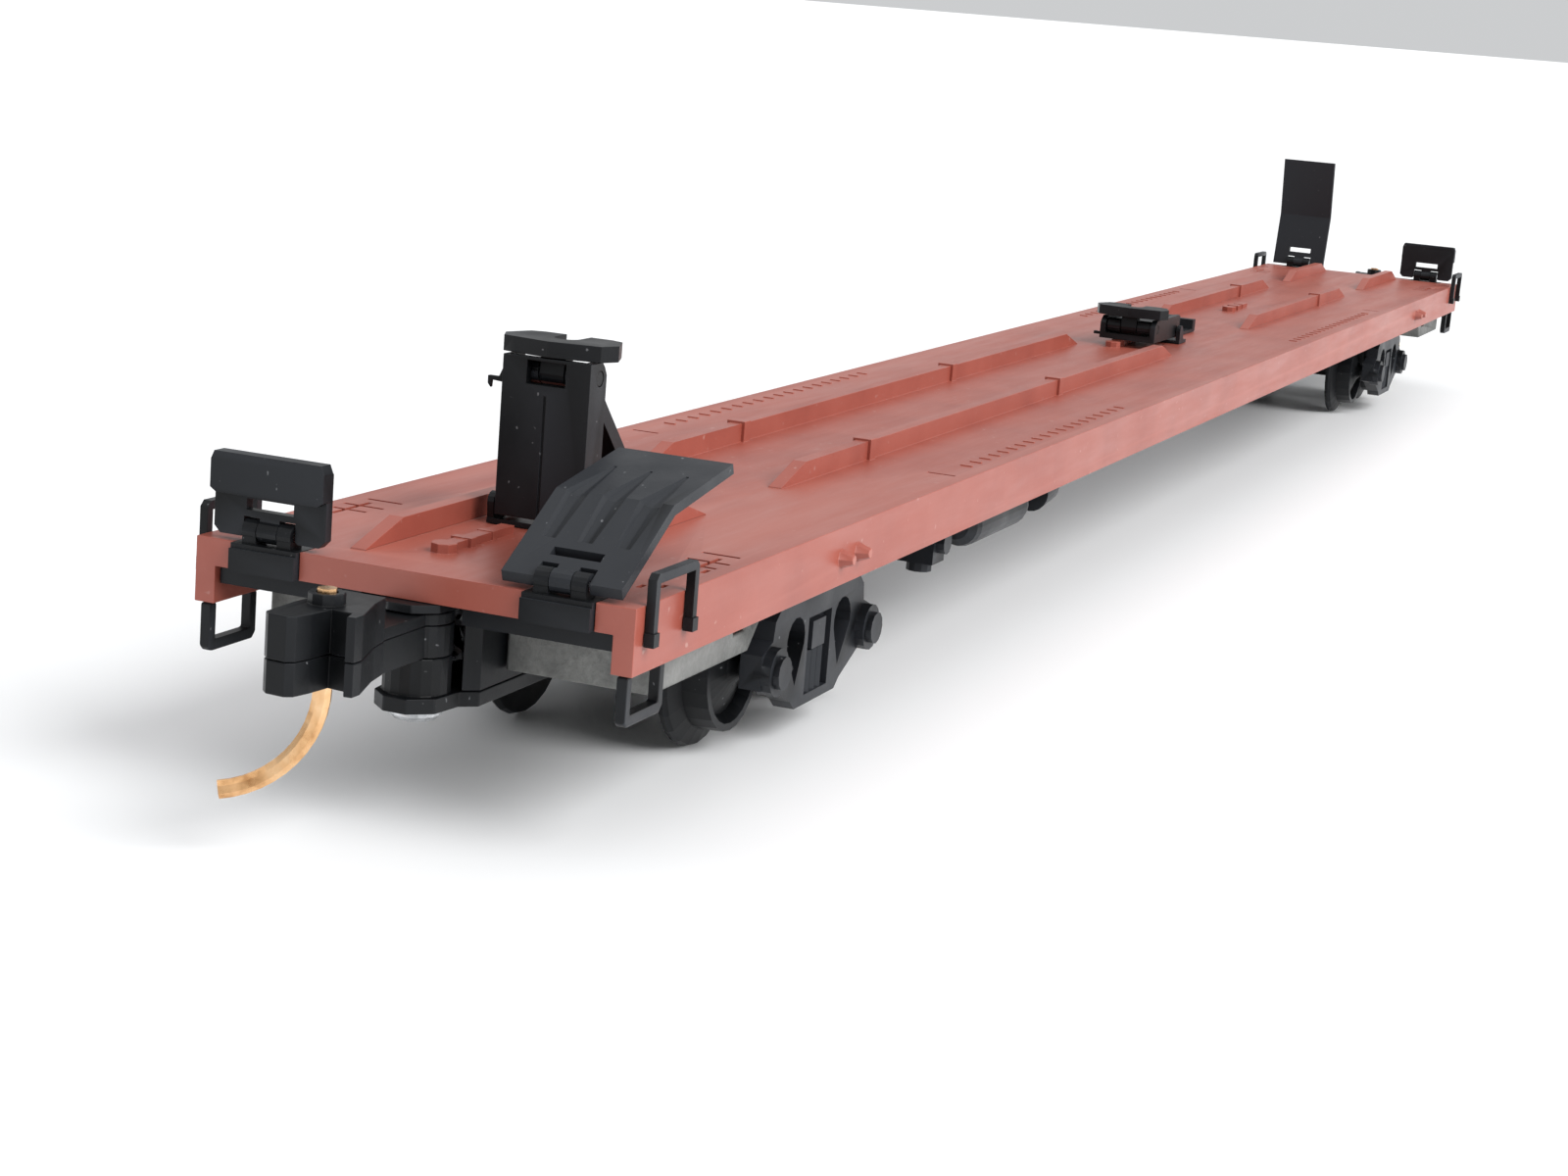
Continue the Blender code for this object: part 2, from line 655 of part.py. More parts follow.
def build_hitch_base(name, car, x, black):
    bottom = GAP
    top = GAP + BASE_PLATE
    ear_inner = POST_WIDTH / 2 + 0.07 * MM
    ear_outer = ear_inner + 0.27 * MM
    axis_z = POST_HINGE_HEIGHT
    base = block(name, car, (x - 0.35 * MM, -ear_outer, bottom), (x + 1.4 * MM, ear_outer, top))
    track = block(name + "_track", car, (x + MM, -0.9 * MM, bottom), (x + TRACK_LENGTH, 0.9 * MM, top))
    stop = block(name + "_stop", car, (x + TRACK_LENGTH - 0.6 * MM, -0.9 * MM, bottom + 0.05 * MM),
                 (x + TRACK_LENGTH + 0.1 * MM, 0.9 * MM, 0.85 * MM))
    add(base, track, stop)
    for side in (-1, 1):
        low, high = sorted((side * ear_inner, side * ear_outer))
        tag = "%s_ear_%s" % (name, "left" if side > 0 else "right")
        outline = [(x - 0.3 * MM, bottom + 0.05 * MM), (x + 0.8 * MM, bottom + 0.05 * MM)]
        outline += arc((x, axis_z), 0.36 * MM, 0, 180, 6)
        add(base, slab(tag, car, outline, low, high, "Y"))
        stub_end = POST_WIDTH / 2 - POST_WALL
        middle = side * (stub_end + ear_outer - 0.1 * MM) / 2
        add(base, rod(tag + "_stub", car, (x, middle, axis_z), STUB_RADIUS, ear_outer - 0.1 * MM - stub_end, "Y"))
    return painted(base, black)


def build_post(name, hinge, black):
    """Channel-shaped post, open at the back. Its hinge is the origin."""
    outline = [
        (-POST_FRONT, -POST_BOTTOM + 0.04 * MM),
        (-POST_FRONT + 0.04 * MM, -POST_BOTTOM),
        (POST_BACK, -POST_BOTTOM),
        (POST_BACK, HEAD_PIN_HEIGHT + 0.1 * MM),
        (HEAD_PIN_BACK + 0.35 * MM, HEAD_PIN_HEIGHT + 0.42 * MM),
        (HEAD_PIN_BACK + 0.15 * MM, POST_TOP),
        (-POST_FRONT, POST_TOP),
    ]
    half = POST_WIDTH / 2
    post = slab(name, hinge, outline, -half, half, "Y")
    inner = half - POST_WALL
    channel = block(name + "_channel", hinge, (-POST_FRONT + POST_WALL, -inner, -2 * MM), (2 * MM, inner, 8 * MM))
    cut(post, channel)
    window = block(name + "_window", hinge, (-MM, -0.8 * MM, HEAD_PIN_HEIGHT - 0.4 * MM),
                   (0, 0.8 * MM, POST_TOP - 0.12 * MM))
    seam = block(name + "_seam", hinge, (-MM, -0.05 * MM, -2 * MM),
                 (-POST_FRONT + 0.07 * MM, 0.05 * MM, HEAD_PIN_HEIGHT - 0.8 * MM))
    holes = rod(name + "_hinge_holes", hinge, (0, 0, 0), STUB_RADIUS + RUNNING, 2 * POST_WIDTH, "Y")
    pin_hole = rod(name + "_pin_hole", hinge, (HEAD_PIN_BACK, 0, HEAD_PIN_HEIGHT),
                   HITCH_PIN_RADIUS + GAP / 2, 2 * POST_WIDTH, "Y")
    cut(post, window, seam, holes, pin_hole)
    hook_z = HEAD_PIN_HEIGHT - 0.45 * MM
    hook = slab(name + "_hook", hinge, [
        (half - 0.1 * MM, hook_z - 0.05 * MM),
        (half + 0.5 * MM, hook_z),
        (half + 0.52 * MM, hook_z - 0.3 * MM),
        (half + 0.65 * MM, hook_z - 0.15 * MM),
        (half + 0.65 * MM, hook_z + 0.15 * MM),
        (half + 0.2 * MM, hook_z + 0.15 * MM),
        (half - 0.1 * MM, hook_z + 0.75 * MM)], -0.3 * MM, -0.12 * MM, "X")
    add(post, hook)
    return painted(post, black)


def head_outline():
    """Top view of the head plate: a blunt pointed front, two ears, and a throat open to the back."""
    right = [
        (-0.6 * MM, -1.55 * MM),
        (-0.5 * MM, -2.0 * MM),
        (0.3 * MM, -2.35 * MM),
        (1.5 * MM, -1.9 * MM),
        (1.7 * MM, -1.4 * MM),
        (1.7 * MM, -0.5 * MM),
    ]
    left = [(x, -y) for x, y in reversed(right)]
    return [(-0.9 * MM, 0)] + right + arc((0.75 * MM, 0), 0.5 * MM, 270, 90, 8) + left


def build_head(name, joint, black):
    """Head plate on its hinge lug. The head pin is the origin."""
    underside = POST_TOP - HEAD_PIN_HEIGHT + 0.05 * MM
    head = slab(name, joint, head_outline(), underside, underside + HEAD_THICKNESS, "Z")
    lug_half = 0.5 * MM
    lug = slab(name + "_lug", joint,
               [(-0.3 * MM, underside + 0.2 * MM), (0.2 * MM, underside + 0.2 * MM)]
               + arc((0, 0), 0.44 * MM, 20, -200, 10), -lug_half, lug_half, "Y")
    add(head, lug)
    cut(head, rod(name + "_bore", joint, (0, 0, 0), HITCH_PIN_RADIUS + RUNNING, 4 * MM, "Y"))
    return painted(head, black)


def brace_length():
    drop = POST_HINGE_HEIGHT + HEAD_PIN_HEIGHT - BRACE_FOOT_HEIGHT
    return math.hypot(BRACE_REACH, drop)


def brace_angle():
    """Angle of the raised brace from straight down, in radians."""
    return math.atan2(BRACE_REACH, POST_HINGE_HEIGHT + HEAD_PIN_HEIGHT - BRACE_FOOT_HEIGHT)


def build_brace(name, joint, black):
    """Forked bar that hangs from the head pin along its own -Z. The head pin is the origin."""
    length = brace_length()
    half = BRACE_WIDTH / 2
    outline = [
        (half, 0.35 * MM),
        (half, -length + 0.3 * MM),
        (half - 0.3 * MM, -length),
        (-half + 0.3 * MM, -length),
        (-half, -length + 0.3 * MM),
        (-half, 0.35 * MM),
    ]
    thick = BRACE_THICKNESS / 2
    brace = slab(name, joint, outline, -thick, thick, "X")
    slot = 0.5 * MM + 2 * GAP
    cut(brace, block(name + "_fork", joint, (-MM, -slot, -0.95 * MM), (MM, slot, MM)))
    eyes = rod(name + "_eyes", joint, (0, 0, 0), 0.34 * MM * 1.3, BRACE_WIDTH, "Y")
    cut(eyes, block(name + "_eye_gap", joint, (-MM, -slot, -MM), (MM, slot, MM)))
    add(brace, eyes)
    channel = block(name + "_web", joint, (thick - 0.15 * MM, -half + 0.35 * MM, -length + 0.8 * MM),
                    (MM, half - 0.35 * MM, -1.4 * MM))
    foot = rod(name + "_foot", joint, (0, 0, -length + 0.05 * MM), 0.2 * MM, BRACE_WIDTH - 0.7 * MM, "Y", 8)
    cut(brace, channel)
    add(brace, foot)
    cut(brace, rod(name + "_bore", joint, (0, 0, 0), HITCH_PIN_RADIUS + RUNNING, 4 * MM, "Y"))
    return painted(brace, black)


def build_hitch(tag, car, x, folded, black):
    """One hitch, either standing up with its brace out behind it or folded down over its strut."""
    turn = -math.pi / 2 if folded else 0.0
    build_hitch_base("hitch_base_" + tag, car, x, black)
    hinge = empty("hitch_hinge_" + tag, car, (x, 0, POST_HINGE_HEIGHT), (0, turn, 0))
    build_post("hitch_post_" + tag, hinge, black)
    top_pin = (HEAD_PIN_BACK, 0, HEAD_PIN_HEIGHT)
    pin = rod("hitch_pin_" + tag, hinge, top_pin, HITCH_PIN_RADIUS, POST_WIDTH - 0.04 * MM, "Y")
    painted(pin, black, True)
    head_joint = empty("hitch_head_joint_" + tag, hinge, top_pin, (0, -turn, 0))
    build_head("hitch_head_" + tag, head_joint, black)
    lean = 0.0 if folded else -brace_angle()
    brace_joint = empty("hitch_brace_joint_" + tag, hinge, top_pin, (0, lean, 0))
    build_brace("hitch_brace_" + tag, brace_joint, black)


# ---------------------------------------------------------------- trucks and wheels


def sideframe_outline():
    half_base = WHEELBASE / 2
    axle = -DECK_HEIGHT + FLANGE_RADIUS
    right = [
        (half_base - 0.8 * MM, axle + 2.35 * MM),
        (half_base - 0.25 * MM, axle + 1.9 * MM),
        (half_base - 0.1 * MM, axle + 1.15 * MM),
        (half_base + 0.95 * MM, axle + 0.75 * MM),
        (half_base + 0.95 * MM, axle - 0.65 * MM),
        (half_base - 0.5 * MM, axle - 0.9 * MM),
        (half_base - 2.4 * MM, axle - 1.75 * MM),
        (half_base - 2.9 * MM, axle - 2.15 * MM),
    ]
    left = [(-x, z) for x, z in reversed(right)]
    return right + left


def teardrop(side):
    """Opening between the truck's chords, round above and pointed below."""
    axle = -DECK_HEIGHT + FLANGE_RADIUS
    centre = (side * 2.55 * MM, axle + 0.75 * MM)
    points = arc(centre, 0.95 * MM, -15, 195, 9)
    points.append((centre[0] - side * 0.2 * MM, axle - 1.15 * MM))
    return points


def build_truck_frame(name, truck, black):
    axle = -DECK_HEIGHT + FLANGE_RADIUS
    inner, outer = SIDEFRAME_INNER, SIDEFRAME_INNER + SIDEFRAME_THICKNESS
    top = -BOLSTER_TOP - 0.25 * MM
    frame = block(name, truck, (-BOLSTER_HALF, -inner - 0.4 * MM, top - BOLSTER_THICKNESS),
                  (BOLSTER_HALF, inner + 0.4 * MM, top))
    plate = rod(name + "_centre_plate", truck, (0, 0, -BOLSTER_TOP - 0.4 * MM), BOSS_RADIUS, 0.8 * MM, sides=24)
    add(frame, plate)
    for side in (-1, 1):
        tag = "%s_%s" % (name, "left" if side > 0 else "right")
        low, high = sorted((side * inner, side * outer))
        frame_side = slab(tag, truck, sideframe_outline(), low, high, "Y")
        for hole_side in (-1, 1):
            cut(frame_side, slab("%s_hole_%d" % (tag, hole_side), truck, teardrop(hole_side), low - MM, high + MM, "Y"))
        pocket_high = axle + 1.45 * MM
        face = side * (outer - 0.35 * MM)
        spring_low, spring_high = sorted((face, side * (outer + MM)))
        cut(frame_side, block(tag + "_pocket", truck, (-1.25 * MM, spring_low, axle - 1.75 * MM),
                              (1.25 * MM, spring_high, pocket_high)))
        add(frame, frame_side)
        end_low, end_high = sorted((face - side * 0.2 * MM, side * (outer - 0.02 * MM)))
        add(frame, block(tag + "_bolster_end", truck, (-0.7 * MM, end_low, axle + 0.05 * MM), (0.7 * MM, end_high, axle + 1.2 * MM)))
        for x in (-0.6 * MM, 0.0, 0.6 * MM):
            add(frame, rod("%s_spring_%d" % (tag, x / MM * 10), truck,
                           (x, face + side * 0.05 * MM, axle - 0.9 * MM), 0.26 * MM, 1.8 * MM, "Z", 6))
        for wheel in (-1, 1):
            x = wheel * WHEELBASE / 2
            box_mid = side * (outer + 0.05 * MM)
            add(frame, rod("%s_bearing_%d" % (tag, wheel), truck, (x, box_mid, axle), 0.98 * MM, 0.7 * MM, "Y"))
            add(frame, rod("%s_cap_%d" % (tag, wheel), truck, (x, side * (outer + 0.45 * MM), axle), 0.68 * MM, 0.4 * MM, "Y", 12))
            hole_length = 0.85 * MM
            hole_mid = side * (inner - MM + (hole_length + MM) / 2)
            cut(frame, rod("%s_journal_%d" % (tag, wheel), truck, (x, hole_mid, axle),
                           JOURNAL_RADIUS + JOURNAL_PLAY, hole_length + MM, "Y"))
    cut(frame, rod(name + "_king_hole", truck, (0, 0, -4.5 * MM), KINGPIN_RADIUS + RUNNING, 6 * MM))
    return painted(frame, black)


def build_kingpin(name, end, black):
    bolster_bottom = -BOLSTER_TOP - 0.25 * MM - BOLSTER_THICKNESS
    head_top = bolster_bottom - TRUCK_GAP
    top = -2.0 * MM
    profile = [
        (0, top),
        (KINGPIN_RADIUS - 0.1 * MM, top),
        (KINGPIN_RADIUS, top - 0.1 * MM),
        (KINGPIN_RADIUS, head_top),
        (1.35 * MM, head_top),
        (1.35 * MM, head_top - 0.3 * MM),
        (1.0 * MM, head_top - 0.5 * MM),
        (0, head_top - 0.5 * MM),
    ]
    pin = turned(name, end, profile, (-TRUCK_CENTRES / 2, 0, 0), steps=SMALL_SIDES)
    return painted(pin, black)


def wheelset_profile():
    """Half of the wheelset's outline, from the left end of the axle to its middle."""
    back = WHEEL_BACK
    face = WHEEL_BACK + WHEEL_WIDTH
    end = SIDEFRAME_INNER + 0.7 * MM
    return [
        (0, end),
        (JOURNAL_RADIUS - 0.12 * MM, end),
        (JOURNAL_RADIUS, end - 0.15 * MM),
        (JOURNAL_RADIUS, SIDEFRAME_INNER - 0.3 * MM),
        (AXLE_RADIUS + 0.1 * MM, face),
        (TREAD_RADIUS - 0.62 * MM, face - 0.45 * MM),
        (TREAD_RADIUS - 0.3 * MM, face),
        (TREAD_RADIUS, face),
        (TREAD_RADIUS + 0.06 * MM, back + 0.75 * MM),
        (FLANGE_RADIUS - 0.1 * MM, back + 0.45 * MM),
        (FLANGE_RADIUS, back + 0.25 * MM),
        (FLANGE_RADIUS - 0.1 * MM, back),
        (AXLE_RADIUS, back),
    ]


def build_wheelset(name, axle, black):
    half = wheelset_profile()
    profile = half + [(radius, -height) for radius, height in reversed(half)]
    return painted(turned(name, axle, profile, axis="Y"), black)


def build_truck(tag, end, black):
    truck = empty("truck_pivot_" + tag, end, (-TRUCK_CENTRES / 2, 0, 0))
    build_truck_frame("truck_frame_" + tag, truck, black)
    build_kingpin("kingpin_" + tag, end, black)
    for place_name, side in (("outer", -1), ("inner", 1)):
        spot = (side * WHEELBASE / 2, 0, -DECK_HEIGHT + FLANGE_RADIUS)
        axle = empty("axle_%s_%s" % (tag, place_name), truck, spot)
        build_wheelset("wheelset_%s_%s" % (tag, place_name), axle, black)


# ---------------------------------------------------------------- couplers


def coupler_head_outline():
    """Top view of the coupler, from its shank out to the knuckle. -X is outward."""
    half = SHANK_WIDTH / 2
    return [
        (-3.8 * MM, -half),
        (-4.8 * MM, -1.0 * MM),
        (-6.6 * MM, -1.6 * MM),
        (-7.1 * MM, -1.6 * MM),
        (-7.15 * MM, -1.3 * MM),
        (-6.6 * MM, -1.15 * MM),
        (-6.5 * MM, -0.35 * MM),
        (-7.5 * MM, -0.25 * MM),
        (-8.2 * MM, -0.1 * MM),
        (-8.4 * MM, 0.15 * MM),
        (-8.35 * MM, 0.85 * MM),
        (-8.1 * MM, 1.1 * MM),
        (-6.4 * MM, 1.15 * MM),
        (-4.8 * MM, 1.0 * MM),
        (-3.8 * MM, half),
    ]


def shank(name, pivot, low, high, arm_low, arm_high, boss_top, black):
    """One half of the coupler: head, boss round the trip pin, arm and eye."""
    half = SHANK_WIDTH / 2 - 0.06 * MM
    body = slab(name, pivot, coupler_head_outline(), low, high, "Z")
    arm_outline = [(-4.1 * MM, -half), (0, -half), (0, half), (-4.1 * MM, half)]
    arm = slab(name + "_arm", pivot, arm_outline, arm_low, arm_high, "Z")
    length = arm_high - arm_low
    eye = rod(name + "_eye", pivot, (0, 0, (arm_low + arm_high) / 2), EYE_RADIUS, length, sides=24)
    add(arm, eye)
    if boss_top > high:
        middle = (low + high) / 2
        centre = (TRIP_PIN_X, TRIP_PIN_Y, (middle + boss_top) / 2)
        add(body, rod(name + "_boss", pivot, centre, 0.62 * MM, boss_top - middle, sides=10))
    add(body, arm)
    cut(body, rod(name + "_bore", pivot, (0, 0, -3 * MM), SCREW_RADIUS + RUNNING, 8 * MM))
    cut(body, rod(name + "_pin_bore", pivot, (TRIP_PIN_X, TRIP_PIN_Y, -3 * MM), TRIP_PIN_RADIUS + GAP, 8 * MM))
    return painted(body, black)


def trip_pin_points():
    """Straight down through the head, then a bend out and to the side."""
    bottom = -HEAD_BOTTOM - 0.15 * MM
    points = [(TRIP_PIN_X, TRIP_PIN_Y, 0.22 * MM), (TRIP_PIN_X, TRIP_PIN_Y, bottom)]
    heading = Vector((-0.53, 0.85, 0)).normalized()
    for i in range(1, 13):
        angle = math.radians(84 * i / 12)
        out = TRIP_BEND * (1 - math.cos(angle))
        down = TRIP_BEND * math.sin(angle)
        points.append((TRIP_PIN_X + out * heading.x, TRIP_PIN_Y + out * heading.y, bottom - down))
    return points


def spring_points():
    per_turn = 8
    start, end = 1.6 * MM, 6.6 * MM
    total = SPRING_TURNS * per_turn
    points = []
    for i in range(total + 1):
        angle = 2 * math.pi * i / per_turn
        x = start + (end - start) * i / total
        points.append((x, SPRING_RADIUS * math.cos(angle), -2.9 * MM + SPRING_RADIUS * math.sin(angle)))
    return points


def box_outline():
    """Top view of the draft box and its lid: a narrow nose round the screw, then the full width."""
    half = BOX_WIDTH / 2
    right = [
        (BOX_FRONT, -0.45 * MM),
        (BOX_FRONT + 0.7 * MM, -1.2 * MM),
        (BOX_FRONT + 2.1 * MM, -1.35 * MM),
        (BOX_FRONT + 2.6 * MM, -half),
        (BOX_BACK, -half),
    ]
    return right + [(x, -y) for x, y in reversed(right)]


def build_coupler(tag, end, black, bronze, steel):
    base = empty("coupler_mount_" + tag, end, (COUPLER_PIVOT_X, 0, 0))
    half = BOX_WIDTH / 2
    top = -DECK_THICKNESS - GAP
    box = slab("coupler_box_" + tag, base, box_outline(), -BOX_BOTTOM, top, "Z")
    roof = top - BOX_WALL * 0.6
    cavity = block("coupler_cavity_" + tag, base, (BOX_FRONT - MM, -half + BOX_WALL, -BOX_BOTTOM - MM),
                   (BOX_BACK - BOX_WALL, half - BOX_WALL, roof))
    cut(box, cavity)
    painted(box, black)
    lid_top = -BOX_BOTTOM - GAP
    lid = slab("coupler_lid_" + tag, base, box_outline(), lid_top - LID_THICKNESS, lid_top, "Z")
    collar_top = -HEAD_BOTTOM - GAP
    collar = lid_top - LID_THICKNESS / 2
    add(lid, rod("lid_collar_" + tag, base, (0, 0, (collar + collar_top) / 2), EYE_RADIUS, collar_top - collar, sides=20))
    cut(lid, rod("lid_hole_" + tag, base, (0, 0, lid_top), SCREW_RADIUS + GAP, 4 * MM))
    painted(lid, black)
    head_top = lid_top - LID_THICKNESS - GAP
    screw_profile = [
        (0, roof - 0.1 * MM),
        (SCREW_RADIUS, roof - 0.1 * MM),
        (SCREW_RADIUS, head_top),
        (SCREW_HEAD_RADIUS, head_top),
        (SCREW_HEAD_RADIUS, head_top - 0.22 * MM),
        (SCREW_HEAD_RADIUS * 0.8, head_top - 0.4 * MM),
        (0, head_top - 0.48 * MM),
    ]
    painted(turned("coupler_screw_" + tag, base, screw_profile, steps=20), steel)
    painted(tube("centring_spring_" + tag, base, spring_points(), SPRING_WIRE, 0), steel)
    pivot = empty("coupler_pivot_" + tag, base)
    lower_top = -HEAD_SEAM - GAP
    arm_top = -HEAD_SEAM + UPPER_ARM
    shank("coupler_upper_" + tag, pivot, -HEAD_SEAM, -HEAD_TOP, -HEAD_SEAM, arm_top, PIN_BOSS_TOP, black)
    shank("coupler_lower_" + tag, pivot, -HEAD_BOTTOM, lower_top, -HEAD_BOTTOM, lower_top, lower_top, black)
    painted(tube("trip_pin_" + tag, pivot, trip_pin_points(), TRIP_PIN_RADIUS), bronze)


# ---------------------------------------------------------------- small fittings


def build_grab_iron(name, end, side, black):
    """Upside-down U beside the deck's corner, on two clips."""
    inner = DECK_WIDTH / 2 + GAP
    low, high = sorted((side * inner, side * (inner + GRAB_BAR)))
    x0, x1 = -GRAB_FRONT, -GRAB_FRONT + GRAB_LENGTH
    bar = GRAB_BAR
    chamfer = 0.2 * MM
    outline = [
        (x0, -GRAB_FOOT), (x0 + bar, -GRAB_FOOT), (x0 + bar, GRAB_TOP - bar),
        (x1 - bar, GRAB_TOP - bar), (x1 - bar, -GRAB_FOOT), (x1, -GRAB_FOOT),
        (x1, GRAB_TOP - chamfer), (x1 - chamfer, GRAB_TOP), (x0 + chamfer, GRAB_TOP), (x0, GRAB_TOP - chamfer),
    ]
    iron = slab(name, end, outline, low, high, "Y")
    foot = 0.06 * MM
    foot_low, foot_high = sorted((side * (inner + 0.01 * MM), side * (inner + GRAB_BAR + 0.06 * MM)))
    feet = [((x - foot, foot_low, -GRAB_FOOT - 0.1 * MM), (x + bar + foot, foot_high, -GRAB_FOOT + 0.38 * MM))
            for x in (x0, x1 - bar)]
    add(iron, blocks(name + "_feet", end, feet))
    return painted(iron, black)


def build_step(name, end, side, black):
    """Stirrup step that hangs under the sill."""
    middle = DECK_WIDTH / 2 - SILL_THICKNESS / 2
    low, high = sorted((side * (middle - STEP_BAR / 2), side * (middle + STEP_BAR / 2)))
    x0, x1 = -STEP_FRONT, -STEP_FRONT + STEP_LENGTH
    top = -SILL_DEPTH - GAP
    bar = STEP_BAR
    chamfer = 0.15 * MM
    outline = [
        (x0, top), (x0, -STEP_BOTTOM + chamfer), (x0 + chamfer, -STEP_BOTTOM), (x1 - chamfer, -STEP_BOTTOM),
        (x1, -STEP_BOTTOM + chamfer), (x1, top), (x1 - bar, top), (x1 - bar, -STEP_BOTTOM + bar),
        (x0 + bar, -STEP_BOTTOM + bar), (x0 + bar, top),
    ]
    return painted(slab(name, end, outline, low, high, "Y"), black)


def build_brake_gear(car, black):
    """Air tank, brake cylinder and valve that hang from the underframe on one side."""
    plate_bottom = -DECK_THICKNESS - FRAME_PLATE - 2 * GAP
    y, z = -5.3 * MM, -3.9 * MM
    valve_x = 16.6 * MM - TRUCK_CENTRES / 2
    x0, x1 = valve_x + 4.8 * MM, valve_x + 13.8 * MM
    half = (x1 - x0) / 2
    profile = [
        (0, half), (TANK_RADIUS * 0.6, half - 0.1 * MM), (TANK_RADIUS * 0.92, half - 0.45 * MM), (TANK_RADIUS, half - 0.9 * MM),
        (TANK_RADIUS, -half + 0.9 * MM), (TANK_RADIUS * 0.92, -half + 0.45 * MM), (TANK_RADIUS * 0.6, -half + 0.1 * MM), (0, -half),
    ]
    tank = turned("air_tank", car, profile, ((x0 + x1) / 2, y, z), "X", 20)
    straps = [((x - 0.3 * MM, y - 0.35 * MM, z + 0.4 * MM), (x + 0.3 * MM, y + 0.35 * MM, plate_bottom))
              for x in (x0 + 2 * MM, x1 - 2 * MM)]
    add(tank, blocks("tank_straps", car, straps))
    painted(tank, black)
    cylinder = rod("brake_cylinder", car, (valve_x + 18.2 * MM, y, z), 0.95 * MM, 2.6 * MM, "X", 20, 0.75 * MM)
    rod_out = rod("brake_rod", car, (valve_x + 15.8 * MM, y, z), 0.25 * MM, 3.0 * MM, "X", 8)
    hanger = block("cylinder_hanger", car, (valve_x + 17.8 * MM, y - 0.3 * MM, z + 0.5 * MM),
                   (valve_x + 18.6 * MM, y + 0.3 * MM, plate_bottom))
    painted(add(cylinder, rod_out, hanger), black)
    valve = block("brake_valve", car, (valve_x - 0.8 * MM, y - 0.9 * MM, z - 0.9 * MM),
                  (valve_x + 0.8 * MM, y + 0.9 * MM, plate_bottom))
    bowl = rod("valve_bowl", car, (valve_x, y, z - 1.0 * MM), 0.6 * MM, 0.7 * MM, "Z", 12)
    cover = rod("valve_cover", car, (valve_x, y - 0.9 * MM, z + 0.1 * MM), 0.55 * MM, 0.8 * MM, "Y", 12)
    painted(add(valve, bowl, cover), black)


# ---------------------------------------------------------------- assembly


def build_end(tag, end, black, grey, bronze, steel):
    build_weight("weight_" + tag, end, grey)
    build_truck(tag, end, black)
    build_coupler(tag, end, black, bronze, steel)
    x_axis, z_axis = hinge_axis()
    ramp_tilt = math.radians(RAMP_TILT) if tag == "near" else 0.0
    for kind, y, tilt in (("ramp", -HINGE_OFFSET, ramp_tilt), ("plate", HINGE_OFFSET, 0.0)):
        build_hinge_block("hinge_block_%s_%s" % (kind, tag), end, y, black)
        build_hinge_pin("hinge_pin_%s_%s" % (kind, tag), end, y, steel)
        hinge = empty("hinge_%s_%s" % (kind, tag), end, (x_axis, y, z_axis), (0, tilt, 0))
        if kind == "ramp":
            build_ramp("bridge_ramp_" + tag, hinge, black)
        else:
            build_short_plate("bridge_plate_" + tag, hinge, black)
    for side_name, side in (("left", 1), ("right", -1)):
        build_grab_iron("grab_iron_%s_%s" % (side_name, tag), end, side, black)
        build_step("step_%s_%s" % (side_name, tag), end, side, black)


def main():
    global PARTS, TOOLS
    clear_scene()
    PARTS = new_collection("model_flat_car")
    TOOLS = new_collection("cutters")
    brown = make_material("brown_plastic", (0.38, 0.11, 0.08), 0.4)
    black = make_material("black_plastic", (0.02, 0.022, 0.025), 0.45)
    grey = make_material("cast_metal", (0.25, 0.25, 0.24), 0.6, 0.7)
    bronze = make_material("bronze", (0.75, 0.42, 0.2), 0.3, 1.0)
    steel = make_material("steel", (0.5, 0.5, 0.52), 0.35, 1.0)
    car = empty("car_frame", None, (0, 0, DECK_HEIGHT))
    near = empty("near_end", car)
    far = empty("far_end", car, (0, 0, 0), (0, 0, math.pi))
    build_deck(car, brown)
    build_underframe(car, black)
    build_brake_gear(car, black)
    build_hitch("near", car, NEAR_HITCH_X, False, black)
    build_hitch("middle", car, MIDDLE_HITCH_X, True, black)
    build_end("near", near, black, grey, bronze, steel)
    build_end("far", far, black, grey, bronze, steel)
    bpy.context.view_layer.update()


main()
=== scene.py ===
import json
import math

import bmesh
import bpy
from mathutils import Matrix, Vector


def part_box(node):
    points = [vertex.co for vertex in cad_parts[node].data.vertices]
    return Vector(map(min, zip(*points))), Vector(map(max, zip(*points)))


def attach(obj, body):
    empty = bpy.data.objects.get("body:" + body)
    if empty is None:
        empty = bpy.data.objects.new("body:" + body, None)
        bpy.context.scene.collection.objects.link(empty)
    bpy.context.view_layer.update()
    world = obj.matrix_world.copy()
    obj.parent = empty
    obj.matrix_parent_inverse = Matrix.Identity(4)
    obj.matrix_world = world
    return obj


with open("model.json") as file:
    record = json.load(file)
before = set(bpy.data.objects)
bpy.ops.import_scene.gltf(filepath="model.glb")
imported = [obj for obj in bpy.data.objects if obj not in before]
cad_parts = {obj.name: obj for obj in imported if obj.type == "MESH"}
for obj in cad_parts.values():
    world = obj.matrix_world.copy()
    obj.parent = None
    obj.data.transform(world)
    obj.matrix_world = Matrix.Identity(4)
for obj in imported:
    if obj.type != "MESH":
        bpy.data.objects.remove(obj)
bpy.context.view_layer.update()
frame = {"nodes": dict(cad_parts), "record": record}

mm = 0.001
nodes = frame["nodes"]
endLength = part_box("deck")[1].x  # half of the deck's length
baseGap = 0.03 * mm  # play under a hitch base
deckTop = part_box("hitch_base_near")[0].z - baseGap
print("frame loaded:", len(nodes), "nodes")


# camera

cameraSettings = {
    "place": (-167.3, -45.8, 29.2),  # mm
    "yaw": 21.34,
    "pitch": -11.89,
    "roll": 4.66,
    "lens": 64.33,
    "sensor": 36,
    "clip": (0.005, 200),  # metres
}


